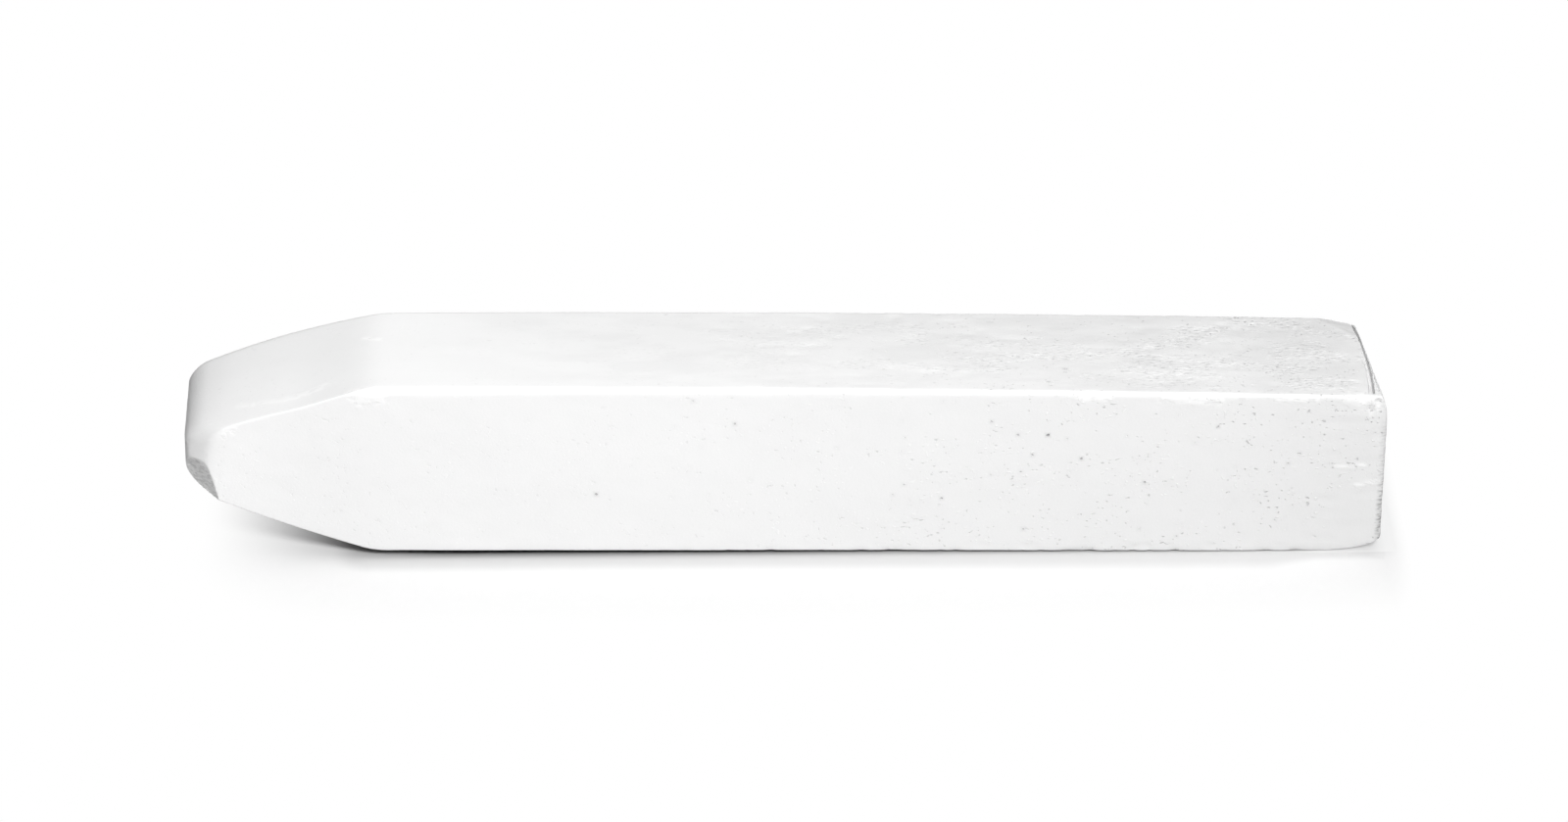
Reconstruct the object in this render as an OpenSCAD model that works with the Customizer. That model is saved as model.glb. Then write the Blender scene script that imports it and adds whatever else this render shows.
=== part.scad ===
// A cast stick of white chalk: a square bar with softened edges, a blunt tapered nose and a squared butt.
// It lies along X with the nose towards -X and the butt towards +X, and rests on its flat underside at z = 0.
// Its front side faces -Y and its back side faces +Y.

/* [Stick] */
// Overall length from the nose to the butt
length = 100; // [60:1:160]
// Width of the bar across its sides
width = 14.9; // [11:0.1:24]
// Height of the bar at the shoulder, where the taper starts
shoulder_h = 15.05; // [13:0.05:20]
// Height of the bar at the butt, a little lower because the open side of the mould was struck off by hand
butt_h = 14.4; // [11:0.1:20]
// How far the middle of the top face stands above a straight line from the shoulder to the butt
top_crown = 0.26; // [0:0.02:0.8]

/* [Taper] */
// Length of the taper from the shoulder to the nose
taper_l = 15.9; // [8:0.1:30]
// How far the nose's underside stands above the resting face
nose_rise = 5.9; // [2:0.05:8]
// Height of the blunt nose
nose_h = 4.6; // [4:0.05:7]
// Width of the nose
nose_w = 14.1; // [9:0.1:16]
// How far the middle of the taper's top swells beyond a straight line
top_swell = 0.58; // [0:0.02:1]
// How far the middle of the taper's underside swells beyond a straight line
under_swell = 0.26; // [0:0.02:1]
// Length that the crease at the shoulder is softened over, on each side of it
crease_l = 0.9; // [0.2:0.1:3]
// How far the back of the nose leads its front, for each unit of width
nose_skew = 0.058; // [0:0.001:0.12]
// How far the taper's top falls from its back to its front, for each unit of width
taper_tilt = 0.05; // [0:0.001:0.08]
// Length that this tilt takes to set in, from the start of the crease
tilt_run = 7.5; // [1:0.1:10]

/* [Long edges] */
// Radius of the two long top edges at the shoulder
top_edge_r = 0.6; // [0.3:0.05:1.8]
// Radius that the same edges come down to at the butt
top_edge_butt_r = 0.3; // [0.3:0.05:1.8]
// Radius of the two long bottom edges
bottom_edge_r = 0.2; // [0.15:0.05:1.8]
// Radius that the tapered edges on the back side are rubbed down to at the nose
nose_back_edge_r = 1.4; // [0.3:0.1:2.6]
// Radius of the tapered edges on the front side
taper_front_edge_r = 0.25; // [0.15:0.05:2.6]
// Length that this radius takes to set in, from the start of the crease
front_edge_run = 3; // [1:0.1:10]

/* [Nose end] */
// How far the rounding of the nose's end face runs along the stick
nose_round_l = 1.8; // [0.3:0.1:3]
// How far the same rounding cuts into the height and the width of the nose
nose_round_d = 1.2; // [0.3:0.1:1.8]

/* [Butt end] */
// Length of the long soft curve under the butt
foot_l = 5.3; // [0.5:0.1:8]
// Height that this curve reaches on the butt's end face
foot_h = 1.4; // [0.5:0.1:5]
// Length of the short curve at the top of the butt
brow_l = 0.6; // [0.2:0.1:2]
// Depth that this curve reaches on the butt's end face
brow_h = 2.8; // [0.5:0.1:5]
// Radius of the butt's front upright edge
butt_front_r = 0.4; // [0.3:0.1:4]
// Radius of the butt's back upright edge
butt_back_r = 0.9; // [0.3:0.1:4]
// How far the front of the butt leads its back, for each unit of width
butt_skew = 0.082; // [0:0.001:0.12]

/* [Trowel groove] */
// Distance of the groove from the butt's end face, along the middle of the stick
groove_inset = 1.02; // [0.8:0.02:3]
// Width of the groove at the back
groove_back_w = 0.15; // [0.1:0.05:0.6]
// Width of the groove at the front
groove_front_w = 0.4; // [0.1:0.05:1]
// Depth of the groove below the top face
groove_d = 0.4; // [0.1:0.05:1]
// How far short of the front side the groove stops
groove_stop = 0.5; // [0.1:0.1:3]
// How far the middle of the groove bows towards the butt
groove_bow = 0.32; // [0:0.02:0.6]
// How far the front of the groove leads its back, for each unit of width
groove_skew = 0.023; // [0:0.001:0.05]

/* [Worn corners] */
// How far the break at the nose's lower front corner reaches along the stick
chip_l = 2.45; // [0.5:0.05:4]
// How far that break reaches across the nose
chip_w = 2.2; // [0.5:0.1:6]
// How far up its plane meets the corner's upright edge
chip_h = 11; // [1:0.1:12]
// How far the rubbed facet at the nose's upper front corner reaches along the stick
rub_l = 2.3; // [0.5:0.1:4]
// How far that facet reaches across the nose
rub_w = 2.2; // [0.5:0.1:6]
// How far down its plane meets the corner's upright edge
rub_h = 9.6; // [1:0.1:14]
// How far the rubbed facet at the butt's upper back corner reaches along the stick
droop_l = 3.1; // [0.5:0.1:6]
// How far that facet reaches across the top
droop_w = 4; // [0.5:0.1:6]
// How far that facet reaches down the butt
droop_h = 0.65; // [0.2:0.1:3]

/* [Smoothness] */
// Steps round each long edge
edge_steps = 6; // [3:1:8]
// Steps along each rounded end
end_steps = 7; // [3:1:10]
// Steps along the taper and its soft crease
taper_steps = 12; // [4:1:16]
// Steps along the crowned bar
bar_steps = 8; // [2:1:16]
// Steps along the bowed groove
groove_steps = 8; // [2:1:16]

/* [Hidden] */
chalk_white = [0.95, 0.95, 0.95];

// The end faces are skewed, so each one's leading corner sets the overall length.
nose_x = -length / 2 + nose_skew * (nose_w / 2 - nose_round_d);
butt_x = length / 2 - butt_skew * (width / 2 - butt_front_r);
shoulder_x = nose_x + taper_l;
butt_round_l = max(foot_l, brow_l, butt_front_r, butt_back_r);
least_edge_r = 0.15;
most_edge_share = 0.45;
overshoot = 1;
cutter_size = 3 * max(width, shoulder_h, butt_h);

// Share of the taper passed at x: 0 on the bar, 1 at the nose, with a parabola over the soft crease
function taper_share(x) = let (past = shoulder_x - x)
    (past < -crease_l ? 0 : past > crease_l ? past : pow(past + crease_l, 2) / (4 * crease_l)) / taper_l;

// Straight fall over the taper, less a parabola that leaves its middle proud
function taper_fall(share, total, swell) = share * (total - 4 * swell * (1 - share));

// Share of the bar passed at x: 0 at the shoulder, 1 at the butt
function bar_share(x) = max(0, min(1, (x - shoulder_x) / (butt_x - shoulder_x)));
function bar_top(x) = let (share = bar_share(x))
    shoulder_h + (butt_h - shoulder_h) * share + 4 * top_crown * share * (1 - share);

// The four faces before their ends are rounded, the top one tilted on the taper
function top_z(x) = bar_top(x) - taper_fall(taper_share(x), shoulder_h - nose_rise - nose_h, top_swell);
function bottom_z(x) = taper_fall(taper_share(x), nose_rise, under_swell);
function set_in(x, run) = let (share = max(0, min(1, (shoulder_x + crease_l - x) / run)))
    share * share * (3 - 2 * share);
function tilt_drop(x, y) = taper_tilt * set_in(x, tilt_run) * (width / 2 - y);
function half_w(x) = width / 2 - taper_share(x) * (width - nose_w) / 2;

// Depth of an elliptical end rounding at a distance from the end face
function round_depth(distance, run, depth) =
    distance >= run ? 0 : depth * (1 - sqrt(1 - pow(1 - max(distance, 0) / run, 2)));
function nose_round(x) = round_depth(x - nose_x, nose_round_l, nose_round_d);
function top_round(x) = nose_round(x) + round_depth(butt_x - x, brow_l, brow_h);
function bottom_round(x) = nose_round(x) + round_depth(butt_x - x, foot_l, foot_h);
function side_round(x, side) = let (r = side > 0 ? butt_back_r : butt_front_r)
    nose_round(x) + round_depth(butt_x - x, r, r);

// How far a section leans per unit of width: nothing along the bar, the full skew at each end
function butt_share(x) = max(0, 1 - (butt_x - x) / butt_round_l);
function lean(x) = nose_skew * min(1, taper_share(x)) + butt_skew * butt_share(x);

// Radius of the top edges before the taper and the ends change it
function top_edge(x) = top_edge_r + (top_edge_butt_r - top_edge_r) * bar_share(x);

// A long edge's radius changes along the taper, is used up by the end roundings and fits the section
function edge_r(x, r, side) = let (
        section_h = top_z(x) - top_round(x) - bottom_z(x) - bottom_round(x),
        worn_r = side > 0 ? r + (nose_back_edge_r - r) * sqrt(min(1, taper_share(x)))
            : r + (taper_front_edge_r - r) * set_in(x, front_edge_run))
    max(least_edge_r, min(worn_r - side_round(x, side), most_edge_share * section_h));

// One corner of a section: an arc that runs from one flat to the next
function corner(x, side, up) = let (
        r = edge_r(x, up > 0 ? top_edge(x) : bottom_edge_r, side),
        face_y = half_w(x) - side_round(x, side))
    [for (i = [0 : edge_steps]) let (
        swing = 90 * i / edge_steps,
        a = side * up > 0 ? swing : 90 - swing,
        y = side * (face_y - r + r * cos(a)),
        leant_x = x - lean(x) * y,
        face_z = up > 0 ? top_z(leant_x) - tilt_drop(leant_x, y) - top_round(x)
            : bottom_z(leant_x) + bottom_round(x))
        [leant_x, y, face_z - up * r * (1 - sin(a))]];

function section(x) = concat(corner(x, 1, 1), corner(x, -1, 1), corner(x, -1, -1), corner(x, 1, -1));

// Distances from an end face that crowd together where its rounding curves most
function end_run(run) = [for (i = [0 : end_steps]) run * (1 - cos(90 * i / end_steps))];
function spaced(from, to, steps) = [for (i = [1 : steps]) from + (to - from) * i / steps];
stations = concat(
    [for (run = end_run(nose_round_l)) nose_x + run],
    spaced(nose_x + nose_round_l, shoulder_x + crease_l, taper_steps),
    spaced(shoulder_x + crease_l, butt_x - butt_round_l, bar_steps),
    [for (i = [end_steps - 1 : -1 : 0]) butt_x - end_run(butt_round_l)[i]]);

// Skin through all the sections, closed by a flat face at each end
module lofted_bar() {
    count = 4 * (edge_steps + 1);
    last = len(stations) - 1;
    points = [for (x = stations) each section(x)];
    faces = concat(
        [[for (j = [0 : count - 1]) j]],
        [for (i = [0 : last - 1], j = [0 : count - 1])
            let (k = (j + 1) % count)
            [i * count + j, (i + 1) * count + j, (i + 1) * count + k, i * count + k]],
        [[for (j = [count - 1 : -1 : 0]) last * count + j]]);
    polyhedron(points, faces);
}

// Everything beyond the plane that meets the three edges of a corner at the given reaches from it
module beyond_corner_plane(corner_at, reach) {
    facing = [for (r = reach) -1 / r];
    outward = facing / norm(facing);
    translate(corner_at + [reach.x, 0, 0])
        rotate([0, acos(outward.z), atan2(outward.y, outward.x)])
            translate([-cutter_size / 2, -cutter_size / 2, 0])
                cube(cutter_size);
}

module worn_corners() {
    nose_front_x = nose_x + nose_skew * nose_w / 2;
    nose_front_top = nose_rise + nose_h - taper_tilt * nose_w;
    beyond_corner_plane([nose_front_x, -nose_w / 2, nose_rise], [chip_l, chip_w, chip_h]);
    beyond_corner_plane([nose_front_x, -nose_w / 2, nose_front_top], [rub_l, rub_w, -rub_h]);
    beyond_corner_plane([butt_x - butt_skew * width / 2, width / 2, butt_h], [-droop_l, -droop_w, -droop_h]);
}

// Bowed groove across the top that widens from the back to the front
module trowel_groove() {
    back_y = width / 2 + overshoot;
    front_y = groove_stop - width / 2;
    middle_x = butt_x - groove_inset;
    ys = [for (i = [0 : groove_steps]) back_y + (front_y - back_y) * i / groove_steps];
    function centre_x(y) = middle_x + groove_bow * (1 - pow(2 * y / width, 2)) - groove_skew * y;
    function half_gap(y) = let (share = (back_y - y) / (back_y - front_y))
        (groove_back_w + (groove_front_w - groove_back_w) * share) / 2;
    translate([0, 0, bar_top(middle_x) - groove_d])
        linear_extrude(groove_d + overshoot)
            polygon(concat(
                [for (y = ys) [centre_x(y) - half_gap(y), y]],
                [for (i = [groove_steps : -1 : 0]) [centre_x(ys[i]) + half_gap(ys[i]), ys[i]]]));
}

module chalk_stick() {
    color(chalk_white)
        difference() {
            lofted_bar();
            worn_corners();
            trowel_groove();
        }
}

chalk_stick();
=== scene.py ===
# A stick of cast white chalk on a pale floor: a square bar with softened edges, a blunt tapered nose
# with a broken corner, and a squared butt. Its top was the mould's open side, struck off by hand.
import math

import bpy
import mathutils
import numpy as np
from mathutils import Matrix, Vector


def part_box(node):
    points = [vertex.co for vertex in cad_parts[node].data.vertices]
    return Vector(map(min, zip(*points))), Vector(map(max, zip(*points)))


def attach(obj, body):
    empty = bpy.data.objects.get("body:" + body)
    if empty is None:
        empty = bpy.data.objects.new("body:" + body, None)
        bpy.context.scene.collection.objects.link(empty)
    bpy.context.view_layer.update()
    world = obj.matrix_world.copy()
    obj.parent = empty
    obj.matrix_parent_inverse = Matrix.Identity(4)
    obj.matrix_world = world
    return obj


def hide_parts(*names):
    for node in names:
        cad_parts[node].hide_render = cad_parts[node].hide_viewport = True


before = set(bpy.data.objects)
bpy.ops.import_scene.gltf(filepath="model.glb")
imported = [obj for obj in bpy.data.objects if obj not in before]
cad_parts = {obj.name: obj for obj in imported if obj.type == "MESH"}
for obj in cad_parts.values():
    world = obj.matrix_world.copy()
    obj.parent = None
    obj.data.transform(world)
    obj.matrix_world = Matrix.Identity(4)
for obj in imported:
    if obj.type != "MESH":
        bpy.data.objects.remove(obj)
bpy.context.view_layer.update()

mm = 0.001  # the frame is in metres, and the dictionaries below are in millimetres
node = "chalk_stick"
lowest, highest = (np.array(corner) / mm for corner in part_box(node))
stickLength, stickWidth = (highest - lowest)[:2]
middle = (lowest + highest) / 2

# The cast form. Length, width and the floor level come from the frame.
form = dict(
    shoulderHeight=15.05,  # height where the taper starts
    buttHeight=14.4,
    topCrown=0.26,  # how far the middle of the top stands above a straight line
    taperLength=15.9,
    noseRise=5.9,  # underside of the nose above the floor
    noseHeight=4.6,
    noseWidth=14.1,
    topSwell=0.58,  # how far the tapered faces swell beyond straight ones
    underSwell=0.26,
    creaseLength=0.9,  # half the length that the shoulder's crease is softened over
    noseSkew=0.058,  # how far the back of the nose leads its front, per unit of width
    taperTilt=0.05,  # fall of the taper's top from back to front, per unit of width
    tiltRun=7.5,  # length that the tilt takes to set in
    topEdge=0.62,
    topEdgeAtButt=0.26,
    bottomEdge=0.12,
    noseBackEdge=1.4,
    taperFrontEdge=0.12,
    frontEdgeRun=3.0,  # length that this edge takes to set in
    noseRoundLength=1.8,
    noseRoundDepth=1.2,
    footLength=5.3,  # long soft curve under the butt
    footHeight=1.4,
    browLength=0.6,
    browHeight=2.8,
    buttFrontEdge=0.4,
    buttBackEdge=0.9,
    buttSkew=0.082,
)

# Corners cut off by a plane: the reaches along the three edges that meet there, how rough the cut is and
# how coarse its grain, and how far a worn one's rim is rounded.
cuts = dict(
    brokenNose=dict(reach=(2.45, 2.2, 11.0), rough=0.03, grain=0.8),
    rubbedNose=dict(reach=(2.3, 2.2, -9.6), soft=0.3, rough=0.01, grain=1.6),
    rolledNose=dict(reach=(1.9, 2.8, -1.9), soft=0.15, rough=0.01, grain=1.6),
    droopedButt=dict(reach=(-3.1, -4.0, -0.65), rough=0.03, grain=1.2),
)

# How many steps the skin has round a section, and how long its steps are along the stick.
skin = dict(
    acrossSteps=50,
    upSteps=46,
    edgeSteps=6,
    noseSteps=10,  # over the nose's rounding
    capRings=10,
    endStep=0.17,
    barStep=0.31,
    buttStep=0.045,
    noseFineLength=5,
    buttFineLength=1.55,
    lastSteps=(0.1, 0.05, 0.015, 0),  # how far the last stations lie from the butt's end
    smallestEdge=0.1,
    largestEdge=0.45,  # as a share of the section's height
    sharpAngle=math.radians(38),
)

# What each random pattern is drawn from.
seeds = dict(
    brokenNose=11,
    rubbedNose=21,
    rolledNose=25,
    droopedButt=31,
    patch=41,
    wave=42,
    side=43,
    streak=44,
    gouge=45,
    ridge=46,
    crumb=47,
    butt=48,
    edge=49,
    bubbles=5,
)

noseX = -stickLength / 2 + form["noseSkew"] * (form["noseWidth"] / 2 - form["noseRoundDepth"])
buttX = stickLength / 2 - form["buttSkew"] * (stickWidth / 2 - form["buttFrontEdge"])
shoulderX = noseX + form["taperLength"]
buttRoundLength = max(form["footLength"], form["browLength"])


def ramp(value, start, end):  # 0 before start, 1 after end, smooth between them
    share = np.clip((value - start) / (end - start), 0, 1)
    return share * share * (3 - 2 * share)


def taperShare(x):  # 0 on the bar, 1 at the nose, with a parabola over the soft crease
    crease = form["creaseLength"]
    past = shoulderX - x
    soft = (past + crease) ** 2 / (4 * crease)
    return np.where(past < -crease, 0, np.where(past > crease, past, soft)) / form["taperLength"]


def taperFall(share, total, swell):
    # A straight fall over the taper, less a parabola that leaves its middle proud.
    return share * (total - 4 * swell * (1 - share))


def barTop(x):  # the straight line from shoulder to butt plus the crown's parabola
    share = np.clip((x - shoulderX) / (buttX - shoulderX), 0, 1)
    straight = form["shoulderHeight"] + (form["buttHeight"] - form["shoulderHeight"]) * share
    return straight + 4 * form["topCrown"] * share * (1 - share)


def setIn(x, run):  # 0 where the crease starts, 1 a run further towards the nose
    start = shoulderX + form["creaseLength"]
    return ramp(-x, -start, run - start)


def topFace(x, y):  # height of the top: the bar's, less the taper's fall and its tilt to the front
    total = form["shoulderHeight"] - form["noseRise"] - form["noseHeight"]
    fall = taperFall(taperShare(x), total, form["topSwell"])
    return barTop(x) - fall - form["taperTilt"] * setIn(x, form["tiltRun"]) * (stickWidth / 2 - y)


def bottomFace(x):  # height of the underside: flat, and rising under the taper
    return taperFall(taperShare(x), form["noseRise"], form["underSwell"])


def roundDepth(distance, run, depth):  # a quarter ellipse: the depth at the end, nothing beyond the run
    share = 1 - np.clip(distance, 0, run) / run
    return depth * (1 - np.sqrt(1 - share * share))


def ringColumns():
    # Once round a section, from the back of the top: where the edge's centre lies (-1 to 1 across and up)
    # and the direction out of it. Each of the four sides is a flat and then the edge that follows it.
    rows = []
    for side, steps in enumerate([skin["acrossSteps"], skin["upSteps"]] * 2):
        heading = math.radians(90 + 90 * side)
        here, there = (np.sign([math.cos(heading + turn), math.sin(heading + turn)])
                       for turn in (-math.pi / 4, math.pi / 4))
        share = np.arange(steps)[:, None] / steps
        straight = np.ones((steps, 1)) * [math.cos(heading), math.sin(heading)]
        rows.append(np.hstack([here + (there - here) * share, straight]))
        swing = heading + math.pi / 2 * np.arange(skin["edgeSteps"]) / skin["edgeSteps"]
        centre = np.ones((skin["edgeSteps"], 1)) * there
        rows.append(np.hstack([centre, np.cos(swing)[:, None], np.sin(swing)[:, None]]))
    return np.vstack(rows).T


def stationRun():
    # Places along the stick: close together on the nose's rounding, at the butt and at its foot. Each end
    # has a cap of rings that shrink to a pole.
    def run(start, end, step):
        count = max(1, round(abs(end - start) / step))
        return list(start + (end - start) * np.arange(count) / count)

    nose = [noseX + form["noseRoundLength"] * (1 - math.cos(math.pi / 2 * i / skin["noseSteps"]))
            for i in range(skin["noseSteps"])]
    pastNose = noseX + skin["noseFineLength"]
    fine = buttX - skin["buttFineLength"]
    stations = nose + run(noseX + form["noseRoundLength"], pastNose, skin["endStep"])
    stations += run(pastNose, buttX - buttRoundLength, skin["barStep"])
    stations += run(buttX - buttRoundLength, fine, skin["endStep"])
    stations += run(fine, buttX - skin["lastSteps"][0], skin["buttStep"])
    stations += [buttX - step for step in skin["lastSteps"]]
    caps = np.arange(skin["capRings"]) / skin["capRings"]
    shrink = np.concatenate([caps, np.ones(len(stations)), caps[::-1]])
    ends = np.ones(skin["capRings"])
    return np.concatenate([noseX * ends, stations, buttX * ends]), shrink


def castSkin():
    # Every point of the stick as it left the mould, as stations by columns: a section is a rectangle with
    # its own radius at each edge, sheared along the stick to the skew of the nose or the butt.
    across, up, outY, outZ = (row[None, :] for row in ringColumns())
    stations, shrink = stationRun()
    x = stations[:, None]
    share = np.minimum(1, taperShare(x))
    noseRound = roundDepth(x - noseX, form["noseRoundLength"], form["noseRoundDepth"])
    topRound = noseRound + roundDepth(buttX - x, form["browLength"], form["browHeight"])
    bottomRound = noseRound + roundDepth(buttX - x, form["footLength"], form["footHeight"])
    sides = {}
    for side, edge in ((-1, form["buttFrontEdge"]), (1, form["buttBackEdge"])):
        sides[side] = noseRound + roundDepth(buttX - x, edge, edge)
    halfWidth = stickWidth / 2 - taperShare(x) * (stickWidth - form["noseWidth"]) / 2
    sectionHeight = topFace(x, 0) - topRound - bottomFace(x) - bottomRound
    radius = 0
    centreY = 0
    toButt = np.clip((x - shoulderX) / (buttX - shoulderX), 0, 1)
    topEdge = form["topEdge"] + (form["topEdgeAtButt"] - form["topEdge"]) * toButt
    for vertical, edge in ((1, topEdge), (-1, form["bottomEdge"])):
        frontWorn = edge + (form["taperFrontEdge"] - edge) * setIn(x, form["frontEdgeRun"])
        backWorn = edge + (form["noseBackEdge"] - edge) * np.sqrt(share)
        for side, worn in ((-1, frontWorn), (1, backWorn)):
            here = np.minimum(worn - sides[side], skin["largestEdge"] * sectionHeight)
            here = np.maximum(skin["smallestEdge"], here)
            weight = (1 + side * across) / 2 * (1 + vertical * up) / 2
            radius = radius + weight * here
            centreY = centreY + weight * side * (halfWidth - sides[side] - here)
    y = centreY + radius * outY
    buttShare = np.maximum(0, 1 - (buttX - x) / buttRoundLength)
    leant = x - (form["noseSkew"] * share + form["buttSkew"] * buttShare) * y
    high = topFace(leant, y) - topRound - radius
    low = bottomFace(leant) + bottomRound + radius
    z = low + (high - low) * (1 + up) / 2 + radius * outZ
    points = np.stack([leant + 0 * z, y + 0 * z, z], axis=-1)
    centre = points.mean(axis=1, keepdims=True)
    return centre + (points - centre) * shrink[:, None, None]


def facing(points):  # outward unit normals of the grid, from the steps along and round it
    along = np.gradient(points, axis=0)
    around = np.roll(points, -1, axis=1) - np.roll(points, 1, axis=1)
    normal = np.cross(around, along)
    return normal / np.maximum(np.linalg.norm(normal, axis=-1, keepdims=True), 1e-9)


def softNoise(points, grain, seed):
    # Smooth random values from -1 to 1: a random number at each corner of a lattice, blended in its cells.
    count = 48
    lattice = np.random.default_rng(seed).uniform(-1, 1, (count, count, count))
    cell = points / np.array(grain, float)
    base = np.floor(cell).astype(int)
    share = cell - base
    share = share * share * (3 - 2 * share)
    total = np.zeros(points.shape[:-1])
    for corner in np.ndindex(2, 2, 2):
        weight = np.prod(np.where(corner, share, 1 - share), axis=-1)
        index = (base + corner) % count
        total += weight * lattice[index[..., 0], index[..., 1], index[..., 2]]
    return total


# Marks of casting and handling: how deep they go below the cast skin, the grain sizes they vary over, and
# where along the stick they set in.
marks = dict(
    faceLean=(0.55, 0.95),  # how squarely a face must look up, or sideways, to be the top or a side
    patchGrain=(11, 5, 5),
    patchSway=4,  # how far patches carry the start of the struck top along the stick
    struckRun=(-34, -8),
    scrapedRun=(-25, 40),
    waveDepth=0.05,
    waveGrain=(9, 7, 7),
    sideDepth=0.012,
    sideGrain=(1.3, 1.0, 1.0),
    streakDepth=0.05,  # drag marks along the struck top
    streakGrain=(2.6, 0.8, 1.0),
    gougeDepth=0.13,
    gougeGrain=(1.2, 0.8, 1.0),
    gougeStart=0.3,  # only noise above this bites in
    ridgeDepth=0.05,
    ridgeGrain=(3.0, 1.0, 0.6),
    ridgeRun=(42, 47.5),
    edgeDepth=0.05,  # uneven wear of the top edges towards the butt
    edgeGrain=(1.5, 0.6, 0.6),
    edgeLean=(0.1, 0.35),
    edgeLeanEnd=(-0.95, -0.75),
    edgeRun=(-15, 42),
    crumbDepth=0.13,  # bites out of the lower edges
    crumbGrain=(0.7, 0.5, 0.5),
    crumbStart=0.35,
    crumbHeight=0.75,
    crumbFade=0.35,
    crumbInset=(1.05, 0.45),  # from the side, inwards
    crumbRun=(-25, 25),
    buttDepth=0.12,  # the butt's broken upright edges
    buttGrain=(0.6, 0.5, 0.45),
    buttReach=(0.8, 0.25),
    buttInset=(1.0, 0.35),
    buttUpperShare=0.4,  # how much of it is left higher up
    buttLowerPart=(-8, -4),
    buttPlainHeight=(10.5, 13),
    nicks=(((47.9, -7.3, 14.1), 0.5, 0.14), ((48.6, -7.4, 13.2), 0.4, 0.12),
           ((49.1, -7.3, 13.9), 0.5, 0.16)),  # place, reach, depth
    core=0.3,  # share of a nick's or a streak's reach that is at its full strength
    streakFade=1.1,  # share of a streak's reach where it ends
    scratchDepth=0.05,
    scratchDark=0.6,
    brokenRough=0.6,
    noseShadeRun=(45.2, 49.6),  # painted shade on the nose's end, above its middle, which faces away from the lamps
    noseShadeHeight=(8.2, 9.4),
    noseShadeLean=(0.5, 0.85),
)

# Loose pale dust rubbed into the skin, in short streaks: start, end, reach to the sides.
dust = (
    ((-44.8, -3.9, 11.8), (-43.6, -4.5, 12.2), 0.4),
    ((-42.8, -4.5, 12.4), (-41.3, -5.1, 12.8), 0.35),
    ((-40.8, -5.1, 13.0), (-39.1, -5.0, 13.5), 0.5),
    ((-39.1, -5.0, 13.5), (-37.5, -4.6, 14.0), 0.5),
    ((-34.9, -7.2, 14.4), (-33.1, -7.3, 14.5), 0.9),
    ((-34.5, -7.4, 13.8), (-32.6, -7.4, 14.2), 0.7),
    ((-45.8, -7.2, 10.5), (-44.9, -7.2, 11.1), 0.45),
    ((-34.7, 2.5, 14.9), (-33.3, 1.9, 15.0), 0.35),
    ((24.5, -7.3, 14.4), (26.9, -7.4, 14.2), 0.5),
    ((31.3, -7.4, 14.2), (36.1, -7.4, 13.9), 0.6),
    ((40.5, -7.4, 14.2), (44.0, -7.35, 14.0), 0.4),
    ((46.8, -7.3, 14.2), (49.0, -7.4, 13.5), 0.9),
    ((45.9, -7.4, 7.8), (48.2, -7.4, 8.0), 0.25),
    ((47.7, -7.4, 6.1), (49.6, -7.4, 6.6), 0.3),
)

# Thin dark scratches in the struck top, in the same form.
scratches = (
    ((37.6, 6.75, 14.6), (38.1, 6.75, 14.6), 0.16),
    ((37.0, 5.6, 14.6), (37.2, 5.2, 14.6), 0.14),
    ((30.9, -4.5, 14.7), (31.2, -4.5, 14.7), 0.14),
    ((23.4, -2.9, 14.8), (23.7, -2.7, 14.8), 0.2),
    ((15.2, 4.7, 14.9), (15.6, 4.9, 14.9), 0.16),
    ((17.5, 5.6, 14.9), (17.7, 5.6, 14.9), 0.14),
)

# The groove that the trowel left across the top at the butt, and the thin crack in the lip beyond it.
groove = dict(
    inset=1.02,
    backWidth=0.13,
    frontWidth=0.42,
    depth=0.4,
    wall=(0.7, 1.3),  # where its walls start and end, in half widths
    stop=0.5,  # it runs out this far from the front
    stopLength=0.5,
    bow=0.32,
    skew=0.023,
    lowestPart=(2.2, 1.8),  # how far under the butt's top it fades
    shownDepth=(0.05, 0.25),  # depths at which its painted shade starts and is full
    backShare=0.4,  # share of the painted shade at its narrow back end
    frontRun=(3.5, 5.5),
    crackInset=0.45,
    crackWidth=0.1,
    crackCore=0.3,  # share of its width that has the full depth
    crackDepth=0.15,
    crackSway=(0.12, 1.3),  # how far it wanders, and how fast
    crackStart=(-6.6, -6),
    crackEnd=(-1, 0.5),
)


def snapToCut(points, gap):
    # Slides the nearer end of every grid step that crosses a cut onto it, by a straight line between the
    # two gaps, so the rim runs through vertices.
    for axis in (0, 1):
        p = np.moveaxis(points, axis, 0)
        g = np.moveaxis(gap, axis, 0)
        share = g[:-1] / np.where(g[:-1] == g[1:], 1, g[:-1] - g[1:])
        crossing = (g[:-1] > 0) != (g[1:] > 0)
        spot = p[:-1] + (p[1:] - p[:-1]) * share[..., None]
        early = crossing & (share < 0.5)
        late = crossing & (share >= 0.5)
        p[:-1][early] = spot[early]
        g[:-1][early] = 0
        p[1:][late] = spot[late]
        g[1:][late] = 0


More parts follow.
